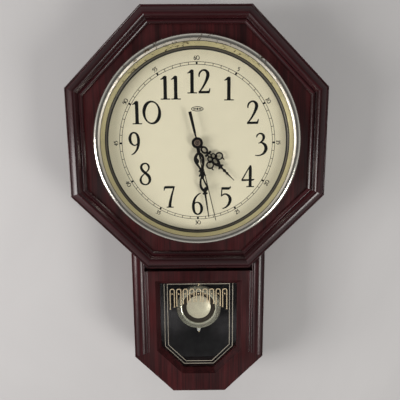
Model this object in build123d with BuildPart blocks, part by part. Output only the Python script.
"""A schoolhouse wall clock with a quartz pendulum movement, in millimetres.

+Z is up, +X is to the right of somebody who looks at the dial, and the wall is the plane Y = 0.
The origin is the centre of the hanging hole, on the wall. The clock stands out from the wall towards -Y.
"Depth" is the distance from the wall, so a face at depth 100 lies at Y = -100.
"""

from build123d import *

import os
from math import cos, pi, radians, sin, sqrt, tan

os.makedirs("parts", exist_ok=True)

# ---- driving dimensions ---------------------------------------------------------------------------

OCTAGON_FLATS = 405.0  # across the flats of the octagon moulding
DIAL_DROP = 157.0  # hanging hole down to the dial centre
EDGE_DEPTH = 100.0  # wall to the outer edge of the octagon moulding
BOX_HALF_WIDTH = 111.5  # lower door, centre line to its side
BOX_SHOULDER = -368.0  # where the side of the lower door ends and its chamfer begins, from the dial centre
BOX_BOTTOM = -434.0  # lowest edge of the door, from the dial centre
BOARD = 12.0  # thickness of the case boards and of the front board
DIAL_SIGHT_RADIUS = 142.5  # visible radius of the dial

HALF_FLATS = OCTAGON_FLATS / 2
MOULDING_WIDTH = 27.0
MOULDING_OVERLAP = 9.0  # how far the moulding laps over the front board
MOULDING_BACK = 82.0
PANEL_FACE = MOULDING_BACK + BOARD
RING_FLATS = 186.0  # centre line to the outer face of the case ring

BOX_BACK_INSET = 3.5  # the case behind the door is this much narrower on each side
BOX_CASE_DEPTH = 68.0
DOOR_BACK = 70.0
DOOR_FACE = 88.0
DOOR_TOP = -213.0
DOOR_GAP = 3.5  # sideways gap between the door's ears and the octagon
GLASS_HALF_WIDTH = 66.0  # sight opening of the door
GLASS_TOP = -237.0
GLASS_BOTTOM = -394.0
CHAMFER_RAIL_WIDTH = 42.0
FRAME_HALF_WIDTH = 85.0  # inner frame moulding of the door, centre line to its outer line
EAR_HALF_WIDTH = 91.0
BEVEL = 7.0
REBATE = 6.0

HINGE_X = 109.5
HINGE_DEPTH = 69.0
HINGE_HEIGHTS = (-250.0, -335.0)
HINGE_LENGTH = 46.0
KNUCKLE_RADIUS = 2.2
KNUCKLE_CLEARANCE = 0.5
PIN_RADIUS = 1.0
RUNNING_CLEARANCE = 0.05

PANEL_BACK = 6.0
PANEL_THICKNESS = 4.0
PANEL_RABBET = 6.0

DIAL_BACK = 81.0
DIAL_THICKNESS = 1.0
DIAL_RADIUS = 164.0
DIAL_HOLE = 153.0
BEZEL_RADIUS = 162.0
GLASS_RIM_RADIUS = 152.0
GLASS_RIM_DEPTH = 98.3
GLASS_RISE = 10.5
GLASS_THICKNESS = 2.0

CLOCK_HOURS, CLOCK_MINUTES, CLOCK_SECONDS = 4, 28, 27.7  # the time that the hands show at rest
HOUR_HAND_DEPTH = 86.5
MINUTE_HAND_DEPTH = 89.5
SECOND_HAND_DEPTH = 92.5
HOUR_HAND_LENGTH = 83.0
MINUTE_HAND_LENGTH = 121.5
SECOND_HAND_LENGTH = 129.0
SECOND_TAIL_LENGTH = 51.0

MOVEMENT_HALF_WIDTH = 28.0
MOVEMENT_TOP = 30.0
MOVEMENT_BOTTOM = -62.0
MOVEMENT_BACK = 52.0
MOVEMENT_FRONT = 80.0
COVER_THICKNESS = 2.0
SHELL = 1.5

PIVOT_DROP = -47.0  # pendulum pivot, from the dial centre
PENDULUM_DEPTH = 46.0
BOB_DROP = -296.0
BOB_RADIUS = 41.0
BOB_HALF_THICKNESS = 4.0

# ---- shared planes, outlines and helpers ----------------------------------------------------------

DIAL_AXIS = Axis((0, 0, -DIAL_DROP), (0, 1, 0))


def facing(depth):
    """The plane at this depth that faces the viewer, with its origin on the dial axis."""
    return Plane(origin=(0, -depth, -DIAL_DROP), x_dir=(1, 0, 0), z_dir=(0, -1, 0))


def side_plane():
    """The plane X = 0, with local x as radius from the dial axis (upwards) and local y as depth."""
    return Plane(origin=(0, 0, -DIAL_DROP), x_dir=(0, 0, 1), z_dir=(1, 0, 0))


def octagon_side(half_flats):
    return 2 * half_flats * tan(pi / 8)


def mirrored(points):
    """A left-hand outline made from a right-hand one."""
    return [(-x, z) for x, z in reversed(points)]


def clock_angle(turn):
    """The location on the dial axis turned clockwise by this many degrees from twelve o'clock."""
    return Rot(0, 0, -turn)


def save(shape, name):
    shape.label = name
    export_step(shape, f"parts/{name}.step")


def group(solids, name):
    """Separate identical solids in one node."""
    save(Compound(label=name, children=list(solids)), name)


def cylinder(x, z, radius, back, front):
    """A plain round bar square to the wall, for bolts, pins and bores."""
    return facing(back) * Pos(x, z, (front - back) / 2) * Cylinder(radius, front - back, mode=Mode.PRIVATE)


def around_dial(shape, turns):
    return [shape.rotate(DIAL_AXIS, turn) for turn in turns]


OUTER_CHAMFER = BOX_HALF_WIDTH - BOX_SHOULDER  # |x| + |z| along the door's outer chamfer
OPENING_CHAMFER = OUTER_CHAMFER - CHAMFER_RAIL_WIDTH * sqrt(2)
EAR_LINE = HALF_FLATS * sqrt(2) + DOOR_GAP  # |x| + |z| along the ears' slanted tops


def box_outline(inset, top):
    """The lower box's outline, moved inwards all round, with a straight top."""
    chamfer_line = OUTER_CHAMFER - inset * sqrt(2)
    half = BOX_HALF_WIDTH - inset
    bottom = BOX_BOTTOM + inset
    right = [(half, top), (half, half - chamfer_line), (chamfer_line + bottom, bottom)]
    return right + mirrored(right)


def opening_outline(grow):
    """The door's sight opening, made larger all round."""
    chamfer_line = OPENING_CHAMFER + grow * sqrt(2)
    half = GLASS_HALF_WIDTH + grow
    bottom = GLASS_BOTTOM - grow
    right = [(half, GLASS_TOP + grow), (half, half - chamfer_line), (chamfer_line + bottom, bottom)]
    return right + mirrored(right)


# ---- case -----------------------------------------------------------------------------------------

HANGER_HALF_WIDTH = 40.0
HANGER_TOP = RING_FLATS - BOARD
HANGER_BOTTOM = 138.0
HANGER_BLOCK = 28.0
HANGER_PLATE = 2.0
HANGER_HOLE = 4.0
HANGER_POCKET = 7.0
HANGER_SCREW_X = 22.0

REACH_HALF_WIDTH = 46.0  # hole in the back panel that gives access to the battery and the setting knob
REACH_TOP = 44.0
REACH_BOTTOM = -86.0

SCREW_RADIUS = 1.25
SCREW_HEAD_RADIUS = 2.8
SCREW_HEAD = 1.4
SCREW_SLOT = 0.6
PANEL_SCREW_LENGTH = 14.0
SCREW_RING = RING_FLATS - PANEL_RABBET / 2 - BOARD / 2  # the screws stand in the rabbet
SCREW_TURNS = (18, -18, 45, -45, 90, -90, 135, -135)
BOX_SCREW_X = BOX_HALF_WIDTH - BOX_BACK_INSET - BOARD + PANEL_RABBET / 2
BOX_SCREW_HEIGHTS = (-220, -340)
BACK_BOX_TOP = -160.0  # the lower part of the back panel starts here, inside the octagonal part


def panel_screw_places():
    """Where the back panel is screwed to the boards, measured from the dial centre."""
    places = []
    for turn in SCREW_TURNS:
        distance = SCREW_RING / cos(radians(turn)) if abs(turn) < 45 else SCREW_RING
        places.append((distance * sin(radians(turn)), distance * cos(radians(turn))))
    for height in BOX_SCREW_HEIGHTS:
        places += [(BOX_SCREW_X, height), (-BOX_SCREW_X, height)]
    return places


def wood_screw(x, z, head_depth, length):
    """A small pan-head screw driven in from the back."""
    shank = cylinder(x, z, SCREW_RADIUS, head_depth, head_depth + length)
    head = cylinder(x, z, SCREW_HEAD_RADIUS, head_depth - SCREW_HEAD, head_depth)
    slot = facing(head_depth - SCREW_HEAD) * Pos(x, z, SCREW_SLOT / 2)
    return shank + head - slot * Box(3 * SCREW_HEAD_RADIUS, SCREW_SLOT, SCREW_SLOT, mode=Mode.PRIVATE)


screw_bores = [
    cylinder(x, z, SCREW_RADIUS, 0, PANEL_BACK + PANEL_SCREW_LENGTH) for x, z in panel_screw_places()
]

# The rabbet that holds the back panel, cut out of every case board.
with BuildPart() as rabbet_cutter:
    with BuildSketch(facing(0)):
        RegularPolygon(RING_FLATS - PANEL_RABBET, 8, major_radius=False, rotation=22.5)
        Polygon(*box_outline(BOX_BACK_INSET + PANEL_RABBET, BACK_BOX_TOP), align=None)
    extrude(amount=PANEL_BACK + PANEL_THICKNESS)

with BuildPart() as back_panel:
    with BuildSketch(facing(PANEL_BACK)):
        RegularPolygon(RING_FLATS - PANEL_RABBET, 8, major_radius=False, rotation=22.5)
        Polygon(*box_outline(BOX_BACK_INSET + PANEL_RABBET, BACK_BOX_TOP), align=None)
        with Locations((0, (REACH_TOP + REACH_BOTTOM) / 2)):
            RectangleRounded(2 * REACH_HALF_WIDTH, REACH_TOP - REACH_BOTTOM, BOARD, mode=Mode.SUBTRACT)
        with Locations((0, HANGER_BOTTOM)):
            Rectangle(2 * HANGER_HALF_WIDTH, RING_FLATS, align=(Align.CENTER, Align.MIN), mode=Mode.SUBTRACT)
    extrude(amount=PANEL_THICKNESS)
    add(screw_bores, mode=Mode.SUBTRACT)
save(back_panel.part, "back_panel")


def ring_board(turn):
    """One mitred board of the octagonal case ring, turned clockwise from twelve o'clock."""
    inner = octagon_side(RING_FLATS - BOARD) / 2
    outer = octagon_side(RING_FLATS) / 2
    low, high = RING_FLATS - BOARD, RING_FLATS
    with BuildPart() as board:
        with BuildSketch(facing(0) * clock_angle(turn)):
            Polygon((-inner, low), (inner, low), (outer, high), (-outer, high), align=None)
        extrude(amount=MOULDING_BACK)
        add(rabbet_cutter.part, mode=Mode.SUBTRACT)
        add(screw_bores, mode=Mode.SUBTRACT)
    return board.part


group([ring_board(turn) for turn in range(0, 360, 45) if turn != 180], "case_ring_boards")

CASE_HALF = BOX_HALF_WIDTH - BOX_BACK_INSET
CASE_CHAMFER = OUTER_CHAMFER - BOX_BACK_INSET * sqrt(2)
CASE_BOTTOM = BOX_BOTTOM + BOX_BACK_INSET
INNER_HALF = CASE_HALF - BOARD
INNER_CHAMFER = CASE_CHAMFER - BOARD * sqrt(2)
INNER_BOTTOM = CASE_BOTTOM + BOARD
RING_LINE = RING_FLATS * sqrt(2)

with BuildPart() as knuckle_relief:
    for height in HINGE_HEIGHTS:
        with BuildSketch(Plane.XY.offset(height - DIAL_DROP - HINGE_LENGTH / 2 - KNUCKLE_CLEARANCE)):
            with Locations((HINGE_X, -HINGE_DEPTH)):
                Circle(KNUCKLE_RADIUS + KNUCKLE_CLEARANCE)
        extrude(amount=HINGE_LENGTH + 2 * KNUCKLE_CLEARANCE)

lower_board_outlines = {
    "lower_side_boards": [
        (CASE_HALF, CASE_HALF - RING_LINE),
        (INNER_HALF, INNER_HALF - RING_LINE),
        (INNER_HALF, INNER_HALF - INNER_CHAMFER),
        (CASE_HALF, CASE_HALF - CASE_CHAMFER),
    ],
    "lower_chamfer_boards": [
        (CASE_HALF, CASE_HALF - CASE_CHAMFER),
        (INNER_HALF, INNER_HALF - INNER_CHAMFER),
        (INNER_CHAMFER + INNER_BOTTOM, INNER_BOTTOM),
        (CASE_CHAMFER + CASE_BOTTOM, CASE_BOTTOM),
    ],
}


def lower_board(outline):
    """One board of the lower box, with its rabbet, screw bores and room for the hinge knuckles."""
    with BuildPart() as board:
        with BuildSketch(facing(0)):
            Polygon(*outline, align=None)
        extrude(amount=BOX_CASE_DEPTH)
        add(rabbet_cutter.part, mode=Mode.SUBTRACT)
        add(screw_bores, mode=Mode.SUBTRACT)
        add(knuckle_relief.part, mode=Mode.SUBTRACT)
    return board.part


for board_name, outline in lower_board_outlines.items():
    group([lower_board(outline), lower_board(mirrored(outline))], board_name)

bottom_board_half = [
    (CASE_CHAMFER + CASE_BOTTOM, CASE_BOTTOM),
    (INNER_CHAMFER + INNER_BOTTOM, INNER_BOTTOM),
]
save(lower_board(bottom_board_half + mirrored(bottom_board_half)), "lower_bottom_board")

THROAT_BACK = 66.0
THROAT_TOP = -190.0
THROAT_BOTTOM = DOOR_TOP + 3
THROAT_HALF_WIDTH = EAR_HALF_WIDTH - 3

with BuildPart() as throat_rail:
    with BuildSketch(facing(THROAT_BACK)):
        with Locations((0, THROAT_BOTTOM)):
            Rectangle(2 * THROAT_HALF_WIDTH, THROAT_TOP - THROAT_BOTTOM, align=(Align.CENTER, Align.MIN))
    extrude(amount=MOULDING_BACK - THROAT_BACK)
save(throat_rail.part, "throat_rail")

# ---- hanging hardware -----------------------------------------------------------------------------

HANGER_PLATE_LENGTH = 64.0
HANGER_PLATE_HEIGHT = 26.0
hanger_screw_places = [(-HANGER_SCREW_X, DIAL_DROP), (HANGER_SCREW_X, DIAL_DROP)]
hanger_bores = [
    cylinder(x, z, SCREW_RADIUS, 0, SCREW_HEAD + PANEL_SCREW_LENGTH) for x, z in hanger_screw_places
]
hanger_sinks = [cylinder(x, z, SCREW_HEAD_RADIUS, 0, SCREW_HEAD) for x, z in hanger_screw_places]

with BuildPart() as hanger_block:
    with BuildSketch(facing(HANGER_PLATE)):
        with Locations((0, HANGER_BOTTOM)):
            Rectangle(2 * HANGER_HALF_WIDTH, HANGER_TOP - HANGER_BOTTOM, align=(Align.CENTER, Align.MIN))
        with Locations((0, DIAL_DROP)):
            Circle(HANGER_POCKET, mode=Mode.SUBTRACT)
    extrude(amount=HANGER_BLOCK)
    add(hanger_bores, mode=Mode.SUBTRACT)
save(hanger_block.part, "hanger_block")

with BuildPart() as hanger_plate:
    with BuildSketch(facing(0)):
        with Locations((0, DIAL_DROP)):
            SlotOverall(HANGER_PLATE_LENGTH, HANGER_PLATE_HEIGHT)
            Circle(HANGER_HOLE, mode=Mode.SUBTRACT)
    extrude(amount=HANGER_PLATE)
    add(hanger_bores + hanger_sinks, mode=Mode.SUBTRACT)
save(hanger_plate.part, "hanger_plate")

panel_screws = [wood_screw(x, z, PANEL_BACK, PANEL_SCREW_LENGTH) for x, z in panel_screw_places()]
hanger_screws = [wood_screw(x, z, SCREW_HEAD, PANEL_SCREW_LENGTH) for x, z in hanger_screw_places]
group(panel_screws + hanger_screws, "case_screws")

# ---- octagon front --------------------------------------------------------------------------------

BOARD_FLATS = HALF_FLATS - MOULDING_WIDTH + MOULDING_OVERLAP
DIAL_SCREW_RADIUS = 158.5
DIAL_SCREW_LENGTH = 9.0
dial_screw_turns = (45, 135, 225, 315)
dial_screw_places = [
    (DIAL_SCREW_RADIUS * sin(radians(turn)), DIAL_SCREW_RADIUS * cos(radians(turn)))
    for turn in dial_screw_turns
]
dial_screw_bores = [
    cylinder(x, z, SCREW_RADIUS, DIAL_BACK, DIAL_BACK + DIAL_SCREW_LENGTH) for x, z in dial_screw_places
]

with BuildPart() as front_board:
    with BuildSketch(facing(MOULDING_BACK)):
        RegularPolygon(BOARD_FLATS, 8, major_radius=False, rotation=22.5)
        Circle(DIAL_HOLE, mode=Mode.SUBTRACT)
    extrude(amount=BOARD)
    add(dial_screw_bores, mode=Mode.SUBTRACT)
save(front_board.part, "front_board")

# The moulding's section, from its outer edge inwards: edge bead, groove, broad ogee, groove, inner bead.
EDGE_BEAD = 3.2
OGEE_CROWN = 8.5  # distance of the ogee's highest line from the outer edge
CROWN_DEPTH = EDGE_DEPTH + 4
OGEE_FOOT = 19.5
INNER_BEAD_START = 21.0
GROOVE_DEPTH = PANEL_FACE + 3
INNER_BEAD_DEPTH = PANEL_FACE + 4.6

outer = HALF_FLATS
inner_edge = HALF_FLATS - MOULDING_WIDTH


def moulding_length():
    """One mitred length of the octagon moulding, at twelve o'clock."""
    reach = HALF_FLATS + 1
    half_reach = octagon_side(reach) / 2
    with BuildPart() as length:
        with BuildSketch(side_plane()):
            with BuildLine():
                Line((outer, MOULDING_BACK), (outer, EDGE_DEPTH - 1.5))
                ThreePointArc(
                    (outer, EDGE_DEPTH - 1.5),
                    (outer - EDGE_BEAD / 2, EDGE_DEPTH),
                    (outer - EDGE_BEAD, EDGE_DEPTH - 1.5),
                )
                Spline(
                    (outer - EDGE_BEAD, EDGE_DEPTH - 1.5),
                    (outer - OGEE_CROWN, CROWN_DEPTH),
                    (outer - (OGEE_CROWN + OGEE_FOOT) / 2, EDGE_DEPTH + 1),
                    (outer - OGEE_FOOT, GROOVE_DEPTH + 0.8),
                    tangents=((-0.3, 1), (-1, -0.35)),
                )
                Line((outer - OGEE_FOOT, GROOVE_DEPTH + 0.8), (outer - INNER_BEAD_START, GROOVE_DEPTH))
                ThreePointArc(
                    (outer - INNER_BEAD_START, GROOVE_DEPTH),
                    ((outer - INNER_BEAD_START + inner_edge) / 2, INNER_BEAD_DEPTH),
                    (inner_edge, PANEL_FACE + 1.5),
                )
                Polyline(
                    (inner_edge, PANEL_FACE + 1.5),
                    (inner_edge, PANEL_FACE),
                    (BOARD_FLATS, PANEL_FACE),
                    (BOARD_FLATS, MOULDING_BACK),
                    (outer, MOULDING_BACK),
                )
            make_face()
        extrude(amount=half_reach, both=True)
        with BuildSketch(facing(0)):
            Polygon((0, 0), (half_reach, reach), (-half_reach, reach), align=None)
        extrude(amount=2 * EDGE_DEPTH, mode=Mode.INTERSECT)
    return length.part


group(around_dial(moulding_length(), range(0, 360, 45)), "octagon_moulding")

# ---- bezel, glass and dial ------------------------------------------------------------------------

BEZEL_CROWN = 104.0
BEZEL_WALL = 1.4
SIGHT_RING_FOOT = 147.0
SIGHT_RING_DEPTH = 86.5
SURROUND_THICKNESS = 1.0


def ring_of(points_and_arcs):
    """A ring turned about the dial axis from a closed list of ("line" or "arc", points) edges."""
    with BuildPart() as ring:
        with BuildSketch(side_plane()):
            with BuildLine():
                for edge_kind, points in points_and_arcs:
                    if edge_kind == "arc":
                        ThreePointArc(*points)
                    else:
                        Polyline(*points)
            make_face()
        revolve(axis=DIAL_AXIS)
    return ring.part


bezel_lip = GLASS_RIM_RADIUS - 2.0
bezel_glass_seat = GLASS_RIM_DEPTH + GLASS_THICKNESS + 0.4
bezel_seat_edge = GLASS_RIM_RADIUS + 0.5
bezel_inner_wall = BEZEL_RADIUS - BEZEL_WALL
bezel_mid = (BEZEL_RADIUS + bezel_lip) / 2
bezel_shoulder = PANEL_FACE + 2
bezel_edges = [
    ("line", [(BEZEL_RADIUS, PANEL_FACE), (BEZEL_RADIUS, bezel_shoulder)]),
    (
        "arc",
        [
            (BEZEL_RADIUS, bezel_shoulder),
            (bezel_mid + 1, BEZEL_CROWN),
            (bezel_lip, bezel_glass_seat + 0.8),
        ],
    ),
    (
        "line",
        [
            (bezel_lip, bezel_glass_seat + 0.8),
            (bezel_lip, bezel_glass_seat),
            (bezel_seat_edge, bezel_glass_seat),
        ],
    ),
    (
        "arc",
        [
            (bezel_seat_edge, bezel_glass_seat),
            (bezel_mid + 1.6, BEZEL_CROWN - BEZEL_WALL),
            (bezel_inner_wall, bezel_shoulder),
        ],
    ),
    (
        "line",
        [
            (bezel_inner_wall, bezel_shoulder),
            (bezel_inner_wall, PANEL_FACE),
            (BEZEL_RADIUS, PANEL_FACE),
        ],
    ),
]
save(ring_of(bezel_edges), "bezel_ring")

# The sight ring stands on the board with a flange and slopes back to the dial inside the glass.
sight_ring_edges = [
    (
        "line",
        [
            (GLASS_RIM_RADIUS + 4, PANEL_FACE),
            (GLASS_RIM_RADIUS + 4, PANEL_FACE + 1),
            (GLASS_RIM_RADIUS + 0.5, PANEL_FACE + 1),
            (GLASS_RIM_RADIUS, GLASS_RIM_DEPTH),
            (GLASS_RIM_RADIUS - 1, GLASS_RIM_DEPTH),
            (SIGHT_RING_FOOT, SIGHT_RING_DEPTH),
            (SIGHT_RING_FOOT + 1, SIGHT_RING_DEPTH),
            (GLASS_RIM_RADIUS - 0.4, PANEL_FACE),
            (GLASS_RIM_RADIUS + 4, PANEL_FACE),
        ],
    )
]
save(ring_of(sight_ring_edges), "sight_ring")

dial_face = DIAL_BACK + DIAL_THICKNESS
surround_edges = [
    (
        "line",
        [
            (DIAL_SIGHT_RADIUS, dial_face),
            (DIAL_SIGHT_RADIUS, dial_face + SURROUND_THICKNESS),
            (SIGHT_RING_FOOT + 0.5, SIGHT_RING_DEPTH - 0.3),
            (DIAL_HOLE, SIGHT_RING_DEPTH - 0.3),
            (DIAL_HOLE, dial_face),
            (DIAL_SIGHT_RADIUS, dial_face),
        ],
    )
]
save(ring_of(surround_edges), "dial_surround")


def glass_dome():
    """The domed glass: two spherical faces joined at the rim."""
    rim_back, rim_front = GLASS_RIM_DEPTH, GLASS_RIM_DEPTH + GLASS_THICKNESS
    with BuildPart() as dome:
        with BuildSketch(side_plane()):
            with BuildLine():
                for rim in (rim_front, rim_back):
                    ThreePointArc((-GLASS_RIM_RADIUS, rim), (0, rim + GLASS_RISE), (GLASS_RIM_RADIUS, rim))
                for side in (-GLASS_RIM_RADIUS, GLASS_RIM_RADIUS):
                    Line((side, rim_back), (side, rim_front))
            make_face()
            with Locations((0, rim_back)):
                Rectangle(GLASS_RIM_RADIUS, 2 * GLASS_RISE, align=(Align.MIN, Align.MIN), mode=Mode.INTERSECT)
        revolve(axis=DIAL_AXIS)
    return dome.part


save(glass_dome(), "dial_glass")

BUSH_RADIUS = 4.0
with BuildPart() as dial_plate:
    with BuildSketch(facing(DIAL_BACK)):
        Circle(DIAL_RADIUS)
        Circle(BUSH_RADIUS, mode=Mode.SUBTRACT)
    extrude(amount=DIAL_THICKNESS)
    add(dial_screw_bores, mode=Mode.SUBTRACT)
save(dial_plate.part, "dial_plate")

group([wood_screw(x, z, DIAL_BACK, DIAL_SCREW_LENGTH) for x, z in dial_screw_places], "dial_screws")

# ---- hands ----------------------------------------------------------------------------------------

HAND_THICKNESS = 0.6
SECOND_ARBOR_RADIUS = 0.6
MINUTE_TUBE_RADIUS = 1.6
HOUR_TUBE_RADIUS = 2.6
MINUTE_BORE = SECOND_ARBOR_RADIUS + RUNNING_CLEARANCE
HOUR_BORE = MINUTE_TUBE_RADIUS + RUNNING_CLEARANCE
BUSH_BORE = HOUR_TUBE_RADIUS + RUNNING_CLEARANCE

seconds_turn = CLOCK_SECONDS * 6
minutes_turn = (CLOCK_MINUTES + CLOCK_SECONDS / 60) * 6
hours_turn = (CLOCK_HOURS + CLOCK_MINUTES / 60) * 30

HAND_WIRE = 1.3
LINK_WIDTH = 2.0
TIP_WIDTH = 0.5

# The rings of flat wire in each pierced hand: distance from the hub, offset to the right, outer radius.
hour_rings = [(17, 0, 5.0), (33, 0, 5.0), (40, 7.4, 5.6), (40, -7.4, 5.6), (47, 0, 5.0)]
hour_links = [(0, 13), (21, 29)]
minute_rings = [(24, 0.8, 5.2), (33, -0.6, 5.0), (41, 0, 3.8), (57, 0.5, 4.2), (65, -0.4, 4.2), (72, 0, 3.2)]
minute_links = [(0, 20), (44, 54)]


def pierced_hand(depth, turn, rings, links, boss, bore, collar, spike_start, bead, length):
    """A hand cut from sheet: boss, links, rings of flat wire, a collar, a spike and its bead."""
    with BuildPart() as hand:
        with BuildSketch(facing(depth) * clock_angle(turn)):
            for distance, sideways, radius in rings:
                with Locations((sideways, distance)):
                    Circle(radius)
            for distance, sideways, radius in rings:
                with Locations((sideways, distance)):
                    Circle(radius - HAND_WIRE, mode=Mode.SUBTRACT)
            Circle(boss)
            for start, end in links:
                with Locations((0, (start + end) / 2)):
                    Rectangle(LINK_WIDTH, end - start)
            with Locations((0, collar)):
                Ellipse(3.6, 2.4)
            with Locations((0, bead)):
                Circle(HAND_WIRE + 0.4)
            Polygon(
                (-HAND_WIRE, spike_start),
                (HAND_WIRE, spike_start),
                (TIP_WIDTH / 2, length),
                (-TIP_WIDTH / 2, length),
                align=None,
            )
            Circle(bore, mode=Mode.SUBTRACT)
        extrude(amount=HAND_THICKNESS)
    return hand.part


hour_hand = pierced_hand(
    depth=HOUR_HAND_DEPTH,
    turn=hours_turn,
    rings=hour_rings,
    links=hour_links,
    boss=7.5,
    bore=HOUR_TUBE_RADIUS,
    collar=53,
    spike_start=51,
    bead=66,
    length=HOUR_HAND_LENGTH,
)
save(hour_hand, "hour_hand")

minute_hand = pierced_hand(
    depth=MINUTE_HAND_DEPTH,
    turn=minutes_turn,
    rings=minute_rings,
    links=minute_links,
    boss=8.4,
    bore=MINUTE_TUBE_RADIUS,
    collar=49,
    spike_start=74,
    bead=79,
    length=MINUTE_HAND_LENGTH,
)
save(minute_hand, "minute_hand")

HUB_BUTTON_RADIUS = 5.6
HUB_BUTTON_HEIGHT = 2.0

with BuildPart() as second_hand:
    with BuildSketch(facing(SECOND_HAND_DEPTH) * clock_angle(seconds_turn)):
        Circle(HUB_BUTTON_RADIUS)
        needle = [(1.1, 0), (TIP_WIDTH / 2, SECOND_HAND_LENGTH)]
        tail = [(0.7, 0), (1.6, -SECOND_TAIL_LENGTH)]
        Polygon(*needle, *mirrored(needle), align=None)
        Polygon(*tail, *mirrored(tail), align=None)
        Circle(SECOND_ARBOR_RADIUS, mode=Mode.SUBTRACT)
    extrude(amount=HAND_THICKNESS)
save(second_hand.part, "second_hand")

with BuildPart() as hub_button:
    with BuildSketch(facing(SECOND_HAND_DEPTH + HAND_THICKNESS)):
        Circle(HUB_BUTTON_RADIUS)
    extrude(amount=HUB_BUTTON_HEIGHT)
    fillet(hub_button.faces().sort_by(Axis.Y)[0].edges(), 1.2)
    with BuildSketch(facing(SECOND_HAND_DEPTH + HAND_THICKNESS)):
        Circle(SECOND_ARBOR_RADIUS)
    extrude(amount=HUB_BUTTON_HEIGHT / 2, mode=Mode.SUBTRACT)
save(hub_button.part, "hub_button")

# ---- movement -------------------------------------------------------------------------------------

WALL_INNER = MOVEMENT_FRONT - SHELL  # inner face of the housing's front wall
COVER_INNER = MOVEMENT_BACK
COVER_OUTER = MOVEMENT_BACK - COVER_THICKNESS
PLATE_BACK = 64.0
PLATE_THICKNESS = 1.0
PLATE_TOP = MOVEMENT_TOP - 4.5
PLATE_BOTTOM = -20.0
LEDGE = 3.0

ARBOR_RADIUS = 0.5
ARBOR_BACK = 51.0
SETTING_ARBOR_RADIUS = 1.0
TOOTH_GAP = 0.2  # the tips of two wheels in a train pass each other this far apart
TOOTH_HEIGHT = 3.4  # how deep the teeth are cut, in modules
TOOTH_SHARE = 0.4  # a tooth's width as a share of the pitch
PIVOT_REACH = 0.7  # how far the front pivots run into the housing's front wall

# Each wheel and pinion: number of teeth, radius over the tips, depth of its back and of its front.
TRAIN = {
    "rotor_pinion": (6, 1.2, 57.2, 58.6),
    "intermediate_wheel": (36, 5.6, 57.4, 58.4),
    "intermediate_pinion": (6, 1.2, 60.6, 62.0),
    "second_wheel": (30, 5.4, 60.8, 61.8),
    "second_pinion": (8, 1.5, 66.2, 67.8),
    "third_wheel": (60, 9.9, 66.5, 67.5),
    "third_pinion": (8, 1.5, 69.8, 71.4),
    "minute_wheel": (64, 9.9, 70.1, 71.1),
    "minute_pinion": (10, 1.9, 73.6, 75.0),
    "motion_wheel": (30, 4.7, 73.8, 74.8),
    "motion_pinion": (8, 1.5, 74.8, 77.2),
    "hour_wheel": (32, 5.1, 75.8, 76.8),
    "setting_pinion": (15, 2.4, 73.4, 75.2),
}


def tip_radius(name):
    return TRAIN[name][1]


def wheel_back(name):
    return TRAIN[name][2]


third_at = (-(tip_radius("minute_wheel") + tip_radius("third_pinion") + TOOTH_GAP), 0.0)
motion_distance = tip_radius("minute_pinion") + tip_radius("motion_wheel") + TOOTH_GAP
motion_direction = radians(30)
motion_at = (motion_distance * cos(motion_direction), motion_distance * sin(motion_direction))
setting_distance = motion_distance + tip_radius("motion_wheel") + tip_radius("setting_pinion") + TOOTH_GAP
setting_at = (setting_distance * cos(motion_direction), setting_distance * sin(motion_direction))
intermediate_drop = tip_radius("second_wheel") + tip_radius("intermediate_pinion") + TOOTH_GAP
intermediate_at = (0.0, -intermediate_drop)
rotor_drop = intermediate_drop + tip_radius("intermediate_wheel") + tip_radius("rotor_pinion") + TOOTH_GAP
rotor_at = (0.0, -rotor_drop)


def wheel(name, place):
    """A toothed wheel or pinion of the train as a solid, with straight-sided teeth."""
    teeth, tip, back, front = TRAIN[name]
    root = tip * (1 - TOOTH_HEIGHT / (teeth + 6))
    pitch = 2 * pi * tip / teeth
    with BuildPart() as toothed:
        with BuildSketch(facing(back) * Pos(*place)):
            Circle(root)
            with PolarLocations((root + tip) / 2 - 0.1, teeth):
                Rectangle(tip - root + 0.2, pitch * TOOTH_SHARE)
            Circle(tip, mode=Mode.INTERSECT)
        extrude(amount=front - back)
    return toothed.part


def arbor(place, radius, back, front):
    """A round arbor, or the hole for one, at a place in the movement."""
    return cylinder(*place, radius, back, front)


def bearing_hole(place, back, front):
    """The hole that one of the thin arbors turns in."""
    return arbor(place, ARBOR_RADIUS + RUNNING_CLEARANCE, back, front)


# Housing: a tub open to the back, with a stud for the motion wheel and a hole for the threaded bush.
movement_middle = (MOVEMENT_TOP + MOVEMENT_BOTTOM) / 2
movement_height = MOVEMENT_TOP - MOVEMENT_BOTTOM
STUD_RADIUS = 0.8
BUSH_FLANGE_RADIUS = 5.5

with BuildPart() as movement_housing:
    with BuildSketch(facing(MOVEMENT_BACK)):
        with Locations((0, movement_middle)):
            RectangleRounded(2 * MOVEMENT_HALF_WIDTH, movement_height, 4)
    extrude(amount=MOVEMENT_FRONT - MOVEMENT_BACK)
    with BuildSketch(facing(MOVEMENT_BACK)):
        with Locations((0, movement_middle)):
            RectangleRounded(2 * (MOVEMENT_HALF_WIDTH - SHELL), movement_height - 2 * SHELL, 2.5)
    extrude(amount=WALL_INNER - MOVEMENT_BACK, mode=Mode.SUBTRACT)
    with BuildSketch(facing(PLATE_BACK + PLATE_THICKNESS)):
        for side in (-1, 1):
            with Locations((side * (MOVEMENT_HALF_WIDTH - SHELL - LEDGE / 2), 5)):
                Rectangle(LEDGE, 40)
    extrude(amount=WALL_INNER - PLATE_BACK - PLATE_THICKNESS)
    add(arbor(motion_at, STUD_RADIUS, 73.5, WALL_INNER + 0.5))
    add(arbor((0, 0), BUSH_RADIUS, WALL_INNER - 0.5, MOVEMENT_FRONT + 1), mode=Mode.SUBTRACT)
    for place in (third_at, setting_at):
        add(bearing_hole(place, WALL_INNER - 1, WALL_INNER + PIVOT_REACH + 0.2), mode=Mode.SUBTRACT)
save(movement_housing.part, "movement_housing")

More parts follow.
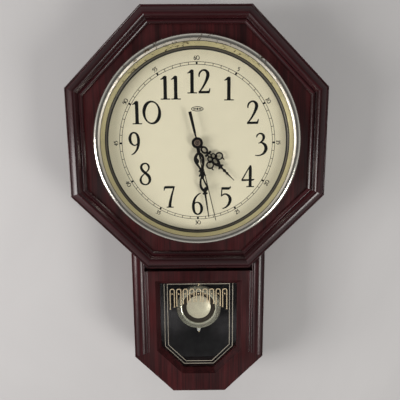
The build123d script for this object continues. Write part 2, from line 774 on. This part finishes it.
BUSH_TOP = 85.9
BUSH_FLANGE = 1.0
with BuildPart() as threaded_bush:
    add(cylinder(0, 0, BUSH_FLANGE_RADIUS, WALL_INNER - BUSH_FLANGE, WALL_INNER))
    add(cylinder(0, 0, BUSH_RADIUS, WALL_INNER, BUSH_TOP))
    add(cylinder(0, 0, BUSH_BORE, WALL_INNER - 2, BUSH_TOP + 1), mode=Mode.SUBTRACT)
save(threaded_bush.part, "threaded_bush")

BUSH_NUT_HALF_FLATS = 6.0
BUSH_NUT_THICKNESS = 2.2
with BuildPart() as bush_nut:
    with BuildSketch(facing(dial_face)):
        RegularPolygon(BUSH_NUT_HALF_FLATS, 6, major_radius=False)
        Circle(BUSH_RADIUS, mode=Mode.SUBTRACT)
    extrude(amount=BUSH_NUT_THICKNESS)
    chamfer(bush_nut.faces().sort_by(Axis.Y)[0].edges().filter_by(GeomType.LINE), 0.4)
save(bush_nut.part, "bush_nut")

BATTERY_RADIUS = 7.1
BATTERY_HALF_LENGTH = 24.6
BATTERY_HEIGHT = -33.0
BATTERY_DEPTH = 61.0
BATTERY_NUB_RADIUS = 2.6
BATTERY_NUB = 1.0
CONTACT_WIDTH = 12.0
CONTACT_HEIGHT = 10.0

with BuildPart() as battery:
    with BuildSketch(Plane.YZ.offset(-BATTERY_HALF_LENGTH)):
        with Locations((-BATTERY_DEPTH, BATTERY_HEIGHT - DIAL_DROP)):
            Circle(BATTERY_RADIUS)
    extrude(amount=2 * BATTERY_HALF_LENGTH)
    fillet(battery.edges().filter_by(GeomType.CIRCLE), 0.6)
    with BuildSketch(Plane.YZ.offset(BATTERY_HALF_LENGTH)):
        with Locations((-BATTERY_DEPTH, BATTERY_HEIGHT - DIAL_DROP)):
            Circle(BATTERY_NUB_RADIUS)
    extrude(amount=BATTERY_NUB)
save(battery.part, "battery")


def contact(side, inner_x):
    """A flat battery contact standing against the housing's side wall."""
    thickness = MOVEMENT_HALF_WIDTH - SHELL - inner_x
    middle = side * (inner_x + thickness / 2)
    plate = Box(thickness, CONTACT_WIDTH, CONTACT_HEIGHT, mode=Mode.PRIVATE)
    return facing(BATTERY_DEPTH) * Pos(middle, BATTERY_HEIGHT, 0) * plate


battery_ends = [(-1, BATTERY_HALF_LENGTH), (1, BATTERY_HALF_LENGTH + BATTERY_NUB)]
group([contact(side, inner_x) for side, inner_x in battery_ends], "battery_contacts")

COVER_WINDOW_TOP = BATTERY_HEIGHT + BATTERY_RADIUS + 1
COVER_WINDOW_BOTTOM = BATTERY_HEIGHT - BATTERY_RADIUS - 1
PIVOT_PIN_RADIUS = 1.5
PIVOT_PIN_TIP = 42.0

with BuildPart() as movement_cover:
    with BuildSketch(facing(COVER_OUTER)):
        with Locations((0, movement_middle)):
            RectangleRounded(2 * MOVEMENT_HALF_WIDTH, movement_height, 4)
        with Locations((0, BATTERY_HEIGHT)):
            Rectangle(2 * BATTERY_HALF_LENGTH + 1, COVER_WINDOW_TOP - COVER_WINDOW_BOTTOM, mode=Mode.SUBTRACT)
    extrude(amount=COVER_THICKNESS)
    add(cylinder(0, PIVOT_DROP, PIVOT_PIN_RADIUS, PIVOT_PIN_TIP, COVER_OUTER + 0.5))
    setting_bore = SETTING_ARBOR_RADIUS + RUNNING_CLEARANCE
    add(arbor(setting_at, setting_bore, COVER_OUTER - 1, COVER_INNER + 1), mode=Mode.SUBTRACT)
    for place in ((0, 0), third_at, intermediate_at, rotor_at):
        add(bearing_hole(place, ARBOR_BACK - 0.2, COVER_INNER + 1), mode=Mode.SUBTRACT)
save(movement_cover.part, "movement_cover")

with BuildPart() as middle_plate:
    with BuildSketch(facing(PLATE_BACK)):
        with Locations((0, (PLATE_TOP + PLATE_BOTTOM) / 2)):
            Rectangle(2 * (MOVEMENT_HALF_WIDTH - SHELL), PLATE_TOP - PLATE_BOTTOM)
        Circle(1.2, mode=Mode.SUBTRACT)
        for place in (third_at, setting_at):
            with Locations(place):
                Circle(1.6, mode=Mode.SUBTRACT)
        for place in (intermediate_at, rotor_at):
            with Locations(place):
                Circle(ARBOR_RADIUS + RUNNING_CLEARANCE, mode=Mode.SUBTRACT)
    extrude(amount=PLATE_THICKNESS)
save(middle_plate.part, "middle_plate")

# The going train and the motion work.
PIVOT_TOP = WALL_INNER + PIVOT_REACH
PLATE_PIVOT_TOP = PLATE_BACK + PLATE_THICKNESS - 0.1
SECOND_SHOULDER = 60.9  # the second arbor is thicker from here forwards
SECOND_ARBOR_TOP = SECOND_HAND_DEPTH + HAND_THICKNESS + HUB_BUTTON_HEIGHT / 2
HAND_SEAT = HAND_THICKNESS + 0.6  # the hour and minute tubes stand this far through from a hand's back

with BuildPart() as second_wheel:
    add(wheel("second_wheel", (0, 0)))
    add(arbor((0, 0), ARBOR_RADIUS, ARBOR_BACK, SECOND_SHOULDER))
    add(arbor((0, 0), SECOND_ARBOR_RADIUS, SECOND_SHOULDER, SECOND_ARBOR_TOP))
    add(wheel("second_pinion", (0, 0)))
save(second_wheel.part, "second_wheel")

with BuildPart() as third_wheel:
    add(wheel("third_wheel", third_at))
    add(wheel("third_pinion", third_at))
    add(arbor(third_at, ARBOR_RADIUS, ARBOR_BACK, PIVOT_TOP))
save(third_wheel.part, "third_wheel")

with BuildPart() as minute_wheel:
    add(wheel("minute_wheel", (0, 0)))
    add(arbor((0, 0), MINUTE_TUBE_RADIUS, wheel_back("minute_wheel"), MINUTE_HAND_DEPTH + HAND_SEAT))
    add(wheel("minute_pinion", (0, 0)))
    add(arbor((0, 0), MINUTE_BORE, wheel_back("minute_wheel") - 1, MINUTE_HAND_DEPTH + 3), mode=Mode.SUBTRACT)
save(minute_wheel.part, "minute_wheel")

with BuildPart() as motion_wheel:
    add(wheel("motion_wheel", motion_at))
    add(wheel("motion_pinion", motion_at))
    add(arbor(motion_at, STUD_RADIUS + RUNNING_CLEARANCE, 73, 78), mode=Mode.SUBTRACT)
save(motion_wheel.part, "motion_wheel")

with BuildPart() as hour_wheel:
    add(wheel("hour_wheel", (0, 0)))
    add(arbor((0, 0), HOUR_TUBE_RADIUS, wheel_back("hour_wheel"), HOUR_HAND_DEPTH + HAND_SEAT))
    add(arbor((0, 0), HOUR_BORE, wheel_back("hour_wheel") - 1, HOUR_HAND_DEPTH + 3), mode=Mode.SUBTRACT)
save(hour_wheel.part, "hour_wheel")

with BuildPart() as intermediate_wheel:
    add(wheel("intermediate_wheel", intermediate_at))
    add(wheel("intermediate_pinion", intermediate_at))
    add(arbor(intermediate_at, ARBOR_RADIUS, ARBOR_BACK, PLATE_PIVOT_TOP))
save(intermediate_wheel.part, "intermediate_wheel")

ROTOR_RADIUS = 3.0
ROTOR_BACK = 53.6
ROTOR_FRONT = 56.6

with BuildPart() as rotor:
    add(arbor(rotor_at, ROTOR_RADIUS, ROTOR_BACK, ROTOR_FRONT))
    add(wheel("rotor_pinion", rotor_at))
    add(arbor(rotor_at, ARBOR_RADIUS, ARBOR_BACK, PLATE_PIVOT_TOP))
save(rotor.part, "rotor")

# The stator is a flat plate that carries the rotor in a round hole and a coil on its far limb.
STATOR_BACK = 54.6
STATOR_THICKNESS = 1.0
STATOR_LIMB = 2.4
STATOR_HALF_HEIGHT = 10.7
STATOR_MIDDLE_WIDTH = 12.0
COIL_X = 17.0
COIL_RADIUS = 3.0
COIL_HALF_LENGTH = 8.0
STATOR_FLUX_HOLE = ROTOR_RADIUS + 0.5

with BuildPart() as stator:
    with BuildSketch(facing(STATOR_BACK)):
        with Locations(rotor_at):
            Rectangle(STATOR_MIDDLE_WIDTH, 2 * STATOR_HALF_HEIGHT)
            Circle(STATOR_FLUX_HOLE, mode=Mode.SUBTRACT)
        for side in (-1, 1):
            with Locations((COIL_X / 2, rotor_at[1] + side * (STATOR_HALF_HEIGHT - STATOR_LIMB / 2))):
                Rectangle(COIL_X + STATOR_LIMB, STATOR_LIMB)
        with Locations((COIL_X, rotor_at[1])):
            Rectangle(STATOR_LIMB, 2 * STATOR_HALF_HEIGHT)
        with Locations(intermediate_at):
            Circle(2 * ARBOR_RADIUS, mode=Mode.SUBTRACT)
    extrude(amount=STATOR_THICKNESS)
save(stator.part, "stator")

with BuildPart() as motor_coil:
    with BuildSketch(Plane.XY.offset(rotor_at[1] - COIL_HALF_LENGTH - DIAL_DROP)):
        with Locations((COIL_X, -STATOR_BACK - STATOR_THICKNESS / 2)):
            Circle(COIL_RADIUS)
            Rectangle(STATOR_LIMB, STATOR_THICKNESS, mode=Mode.SUBTRACT)
    extrude(amount=2 * COIL_HALF_LENGTH)
save(motor_coil.part, "motor_coil")

BOARD_X = -17.0
BOARD_HEIGHT = 16.0
BOARD_WIDTH = 15.0
BOARD_LENGTH = 20.0
BOARD_THICKNESS = 0.8
BOARD_GAP = 1.0  # the circuit board stands this far off the cover
COMPONENT_HEIGHT = 1.2

with BuildPart() as circuit_board:
    with BuildSketch(facing(MOVEMENT_BACK + BOARD_GAP)):
        with Locations((BOARD_X, BOARD_HEIGHT)):
            Rectangle(BOARD_WIDTH, BOARD_LENGTH)
    extrude(amount=BOARD_THICKNESS)
    with BuildSketch(facing(MOVEMENT_BACK + BOARD_GAP + BOARD_THICKNESS)):
        with Locations((BOARD_X, BOARD_HEIGHT - 4)):
            Circle(3.2)
        with Locations((BOARD_X, BOARD_HEIGHT + 5)):
            Rectangle(7, 3)
    extrude(amount=COMPONENT_HEIGHT)
save(circuit_board.part, "circuit_board")

PULSE_COIL_DROP = PIVOT_DROP - 7
PULSE_COIL_RADIUS = 5.5
PULSE_COIL_BORE = 2.0
PULSE_COIL_HEIGHT = 4.0

with BuildPart() as pulse_coil:
    with BuildSketch(facing(MOVEMENT_BACK)):
        with Locations((0, PULSE_COIL_DROP)):
            Circle(PULSE_COIL_RADIUS)
            Circle(PULSE_COIL_BORE, mode=Mode.SUBTRACT)
    extrude(amount=PULSE_COIL_HEIGHT)
save(pulse_coil.part, "pulse_coil")

KNOB_RADIUS = 6.0
KNOB_BACK = 44.0
KNOB_RIDGES = 24
KNOB_RIDGE_RADIUS = 0.4
KNOB_GAP = 0.8  # between the knob and the cover

with BuildPart() as setting_knob:
    with BuildSketch(facing(KNOB_BACK) * Pos(*setting_at)):
        Circle(KNOB_RADIUS - KNOB_RIDGE_RADIUS)
        with PolarLocations(KNOB_RADIUS - KNOB_RIDGE_RADIUS, KNOB_RIDGES):
            Circle(KNOB_RIDGE_RADIUS)
    extrude(amount=COVER_OUTER - KNOB_BACK - KNOB_GAP)
    add(arbor(setting_at, SETTING_ARBOR_RADIUS, KNOB_BACK + 1, wheel_back("setting_pinion")))
    add(wheel("setting_pinion", setting_at))
    add(arbor(setting_at, ARBOR_RADIUS, wheel_back("setting_pinion"), PIVOT_TOP))
save(setting_knob.part, "setting_knob")

# ---- pendulum -------------------------------------------------------------------------------------

HANGER_ARM_BACK = 44.0
HANGER_ARM_FRONT = 49.0
HANGER_ARM_WIDTH = 8.0
HANGER_ARM_BOTTOM = -84.0
MAGNET_RADIUS = 3.0
MAGNET_DROP = PIVOT_DROP - 11
ROD_RADIUS = 1.2
ROD_TOP = -78.0
ROD_BOTTOM = BOB_DROP - BOB_RADIUS - 9

with BuildPart() as pendulum_hanger:
    with BuildSketch(facing(HANGER_ARM_BACK)):
        with Locations((0, PIVOT_DROP)):
            Circle(4)
        with Locations((0, PIVOT_DROP)):
            Rectangle(HANGER_ARM_WIDTH - 2, PIVOT_DROP - HANGER_ARM_BOTTOM, align=(Align.CENTER, Align.MAX))
        with Locations((0, MAGNET_DROP)):
            Circle(5)
        with Locations((0, PIVOT_DROP)):
            Circle(PIVOT_PIN_RADIUS + RUNNING_CLEARANCE, mode=Mode.SUBTRACT)
        with Locations((0, MAGNET_DROP)):
            Circle(MAGNET_RADIUS, mode=Mode.SUBTRACT)
    extrude(amount=HANGER_ARM_FRONT - HANGER_ARM_BACK)
    with BuildSketch(Plane.XY.offset(HANGER_ARM_BOTTOM - 1 - DIAL_DROP)):
        with Locations((0, -PENDULUM_DEPTH)):
            Circle(ROD_RADIUS)
    extrude(amount=ROD_TOP - HANGER_ARM_BOTTOM + 1, mode=Mode.SUBTRACT)
save(pendulum_hanger.part, "pendulum_hanger")

save(cylinder(0, MAGNET_DROP, MAGNET_RADIUS, HANGER_ARM_BACK + 1, HANGER_ARM_FRONT), "pendulum_magnet")

with BuildPart() as pendulum_rod:
    with BuildSketch(Plane.XY.offset(ROD_BOTTOM - DIAL_DROP)):
        with Locations((0, -PENDULUM_DEPTH)):
            Circle(ROD_RADIUS)
    extrude(amount=ROD_TOP - ROD_BOTTOM)
save(pendulum_rod.part, "pendulum_rod")

# The bob: a ridged brass ring and back, a dark inset ring, and a domed centre.
BOB_RING_INNER = 30.0
BOB_CENTRE_RADIUS = 22.0
BOB_RECESS = 2.5  # the inset ring and the centre sit this far below the rim
bob_back = PENDULUM_DEPTH - BOB_HALF_THICKNESS
bob_front = PENDULUM_DEPTH + BOB_HALF_THICKNESS
bob_floor = bob_front - BOB_RECESS
BOB_AXIS = Axis((0, 0, BOB_DROP - DIAL_DROP), (0, 1, 0))
bob_plane = Plane(origin=(0, 0, BOB_DROP - DIAL_DROP), x_dir=(0, 0, 1), z_dir=(1, 0, 0))

with BuildPart() as bob_shell:
    with BuildSketch(bob_plane):
        with BuildLine():
            Polyline(
                (0, bob_back),
                (BOB_RADIUS - 3, bob_back),
                (BOB_RADIUS, bob_back + 2.5),
                (BOB_RADIUS, bob_front - 2),
            )
            ThreePointArc(
                (BOB_RADIUS, bob_front - 2),
                ((BOB_RADIUS + BOB_RING_INNER) / 2, bob_front + 1.2),
                (BOB_RING_INNER, bob_front - 1.5),
            )
            Polyline(
                (BOB_RING_INNER, bob_front - 1.5),
                (BOB_RING_INNER, bob_floor),
                (0, bob_floor),
                (0, bob_back),
            )
        make_face()
    revolve(axis=BOB_AXIS)
    add(pendulum_rod.part, mode=Mode.SUBTRACT)
save(bob_shell.part, "bob_shell")

with BuildPart() as bob_inset_ring:
    with BuildSketch(facing(bob_floor)):
        with Locations((0, BOB_DROP)):
            Circle(BOB_RING_INNER)
            Circle(BOB_CENTRE_RADIUS, mode=Mode.SUBTRACT)
    extrude(amount=1.0)
save(bob_inset_ring.part, "bob_inset_ring")

with BuildPart() as bob_centre:
    with BuildSketch(bob_plane):
        with BuildLine():
            Polyline((BOB_CENTRE_RADIUS, bob_front - 1.6), (BOB_CENTRE_RADIUS, bob_floor), (0, bob_floor))
            Line((0, bob_floor), (0, bob_front + 1.5))
            ThreePointArc(
                (0, bob_front + 1.5),
                (BOB_CENTRE_RADIUS / 2, bob_front + 0.8),
                (BOB_CENTRE_RADIUS, bob_front - 1.6),
            )
        make_face()
    revolve(axis=BOB_AXIS)
save(bob_centre.part, "bob_centre")

NUT_TOP = BOB_DROP - BOB_RADIUS - 0.5
NUT_HEIGHT = 5.0
NUT_RADIUS = 3.2
NUT_RIDGES = 16
NUT_RIDGE_RADIUS = 0.3

with BuildPart() as rating_nut:
    with BuildSketch(Plane.XY.offset(NUT_TOP - NUT_HEIGHT - DIAL_DROP)):
        with Locations((0, -PENDULUM_DEPTH)):
            Circle(NUT_RADIUS - NUT_RIDGE_RADIUS)
            with PolarLocations(NUT_RADIUS - NUT_RIDGE_RADIUS, NUT_RIDGES):
                Circle(NUT_RIDGE_RADIUS)
            Circle(ROD_RADIUS + RUNNING_CLEARANCE, mode=Mode.SUBTRACT)
    extrude(amount=NUT_HEIGHT)
save(rating_nut.part, "rating_nut")

# ---- door -----------------------------------------------------------------------------------------

GLASS_DEPTH = 76.0
GLASS_PLATE = 3.0
STOP_DEPTH = 71.5
STOP_WIDTH = 5.0

with BuildPart() as bevel_cutter:
    with BuildSketch(facing(DOOR_FACE - BEVEL)):
        Polygon(*opening_outline(0), align=None)
    with BuildSketch(facing(DOOR_FACE + 1)):
        Polygon(*opening_outline(BEVEL + 1), align=None)
    loft()
    with BuildSketch(facing(DOOR_BACK)):
        Polygon(*opening_outline(0), align=None)
    extrude(amount=DOOR_FACE - DOOR_BACK)

with BuildPart() as rebate_cutter:
    with BuildSketch(facing(DOOR_BACK)):
        Polygon(*opening_outline(REBATE), align=None)
    extrude(amount=GLASS_DEPTH + GLASS_PLATE - DOOR_BACK)

stile_outline = [
    (BOX_HALF_WIDTH, BOX_HALF_WIDTH - EAR_LINE),
    (EAR_HALF_WIDTH, EAR_HALF_WIDTH - EAR_LINE),
    (EAR_HALF_WIDTH, DOOR_TOP),
    (FRAME_HALF_WIDTH, DOOR_TOP),
    (GLASS_HALF_WIDTH, GLASS_TOP),
    (GLASS_HALF_WIDTH, GLASS_HALF_WIDTH - OPENING_CHAMFER),
    (BOX_HALF_WIDTH, BOX_SHOULDER),
]
chamfer_rail_outline = [
    (BOX_HALF_WIDTH, BOX_SHOULDER),
    (GLASS_HALF_WIDTH, GLASS_HALF_WIDTH - OPENING_CHAMFER),
    (OPENING_CHAMFER + GLASS_BOTTOM, GLASS_BOTTOM),
    (OUTER_CHAMFER + BOX_BOTTOM, BOX_BOTTOM),
]
bottom_rail_half = [(OPENING_CHAMFER + GLASS_BOTTOM, GLASS_BOTTOM), (OUTER_CHAMFER + BOX_BOTTOM, BOX_BOTTOM)]
top_rail_half = [(FRAME_HALF_WIDTH, DOOR_TOP), (GLASS_HALF_WIDTH, GLASS_TOP)]

STILE_BEAD = 3.0
STILE_BULGE_END = 19.0
STILE_FLAT_START = 26.0
STILE_REACH = 60.0  # the section runs this far in, past the stile's inner edge


def stile_section(side):
    """The stile's moulded face, seen from above: edge bead, wide bulge, double bead, flat."""

    def at(inset, depth):
        return (side * (BOX_HALF_WIDTH - inset), -depth)

    bead_middle = (STILE_BULGE_END + STILE_FLAT_START) / 2
    with BuildLine() as line:
        Polyline(
            at(STILE_BEAD, DOOR_FACE - 1.5),
            at(0, DOOR_FACE - 1.5),
            at(0, DOOR_BACK),
            at(STILE_REACH, DOOR_BACK),
            at(STILE_REACH, DOOR_FACE),
            at(STILE_FLAT_START, DOOR_FACE),
        )
        ThreePointArc(
            at(STILE_FLAT_START, DOOR_FACE),
            at(STILE_FLAT_START - 1.7, DOOR_FACE + 0.4),
            at(bead_middle, DOOR_FACE - 1.2),
        )
        ThreePointArc(
            at(bead_middle, DOOR_FACE - 1.2),
            at(STILE_BULGE_END + 1.7, DOOR_FACE + 0.4),
            at(STILE_BULGE_END, DOOR_FACE - 1.8),
        )
        ThreePointArc(
            at(STILE_BULGE_END, DOOR_FACE - 1.8),
            at((STILE_BEAD + STILE_BULGE_END) / 2 - 2, DOOR_FACE + 2),
            at(STILE_BEAD, DOOR_FACE - 1.5),
        )
    return line.line


def door_member(outline, side=0):
    """One member of the door frame, bevelled round the glass and rebated behind it."""
    with BuildPart() as member:
        if side:
            with BuildSketch(Plane.XY.offset(BOX_BOTTOM - DIAL_DROP)):
                add(stile_section(side))
                make_face()
            extrude(amount=-2 * BOX_BOTTOM)
            with BuildSketch(facing(DOOR_BACK - 1)):
                Polygon(*outline, align=None)
            extrude(amount=2 * EDGE_DEPTH, mode=Mode.INTERSECT)
            add(knuckle_relief.part, mode=Mode.SUBTRACT)
        else:
            with BuildSketch(facing(DOOR_BACK)):
                Polygon(*outline, align=None)
            extrude(amount=DOOR_FACE - DOOR_BACK)
        add(bevel_cutter.part, mode=Mode.SUBTRACT)
        add(rebate_cutter.part, mode=Mode.SUBTRACT)
    return member.part


save(door_member(stile_outline, side=1), "door_right_stile")
save(door_member(mirrored(stile_outline), side=-1), "door_left_stile")
save(door_member(chamfer_rail_outline), "door_right_chamfer_rail")
save(door_member(mirrored(chamfer_rail_outline)), "door_left_chamfer_rail")
save(door_member(bottom_rail_half + mirrored(bottom_rail_half)), "door_bottom_rail")
save(door_member(top_rail_half + mirrored(top_rail_half)), "door_top_rail")

with BuildPart() as door_glass:
    with BuildSketch(facing(GLASS_DEPTH)):
        Polygon(*opening_outline(REBATE - 0.5), align=None)
    extrude(amount=GLASS_PLATE)
save(door_glass.part, "door_glass")

with BuildPart() as glass_stop:
    with BuildSketch(facing(STOP_DEPTH)):
        Polygon(*opening_outline(REBATE), align=None)
        Polygon(*opening_outline(REBATE - STOP_WIDTH), align=None, mode=Mode.SUBTRACT)
    extrude(amount=GLASS_DEPTH - STOP_DEPTH)
save(glass_stop.part, "glass_stop")

LEAF = 0.9
LEAF_WIDTH = 11.0
KNUCKLES = 3


def hinge_leaf(height, middle_knuckle, back, front):
    """One leaf of a butt hinge with its knuckles; the door's leaf has the middle one."""
    knuckle = HINGE_LENGTH / KNUCKLES
    bottom = height - DIAL_DROP - HINGE_LENGTH / 2
    with BuildPart() as leaf:
        with BuildSketch(facing(back)):
            with Locations((HINGE_X, height)):
                Rectangle(LEAF_WIDTH, HINGE_LENGTH, align=(Align.MAX, Align.CENTER))
        extrude(amount=front - back)
        for index in range(KNUCKLES):
            own = (index == 1) == middle_knuckle
            with BuildSketch(Plane.XY.offset(bottom + index * knuckle)):
                with Locations((HINGE_X, -HINGE_DEPTH)):
                    Circle(KNUCKLE_RADIUS if own else KNUCKLE_RADIUS + 0.3)
            extrude(amount=knuckle, mode=Mode.ADD if own else Mode.SUBTRACT)
        with BuildSketch(Plane.XY.offset(bottom)):
            with Locations((HINGE_X, -HINGE_DEPTH)):
                Circle(PIN_RADIUS + (RUNNING_CLEARANCE if middle_knuckle else 0))
        extrude(amount=HINGE_LENGTH, mode=Mode.SUBTRACT)
    return leaf.part


case_leaves = [hinge_leaf(height, False, BOX_CASE_DEPTH, BOX_CASE_DEPTH + LEAF) for height in HINGE_HEIGHTS]
door_leaves = [hinge_leaf(height, True, DOOR_BACK - LEAF, DOOR_BACK) for height in HINGE_HEIGHTS]
group(case_leaves, "hinge_case_leaves")
group(door_leaves, "hinge_door_leaves")


def hinge_pin(height):
    place = Plane.XY.offset(height - DIAL_DROP) * Pos(HINGE_X, -HINGE_DEPTH, 0)
    return place * Cylinder(PIN_RADIUS, HINGE_LENGTH)


group([hinge_pin(height) for height in HINGE_HEIGHTS], "hinge_pins")

CATCH_X = -90.0
CATCH_HEIGHT = -300.0
CATCH_WIDTH = 12.0
CATCH_LENGTH = 30.0
CATCH_DEPTH = 14.9

with BuildPart() as catch_magnet:
    with BuildSketch(facing(BOX_CASE_DEPTH + LEAF - CATCH_DEPTH)):
        with Locations((CATCH_X, CATCH_HEIGHT)):
            Rectangle(CATCH_WIDTH, CATCH_LENGTH)
    extrude(amount=CATCH_DEPTH)
save(catch_magnet.part, "catch_magnet")

with BuildPart() as catch_striker:
    with BuildSketch(facing(DOOR_BACK - LEAF)):
        with Locations((CATCH_X + 8, CATCH_HEIGHT)):
            RectangleRounded(10, 24, 2)
    extrude(amount=LEAF)
save(catch_striker.part, "catch_striker")
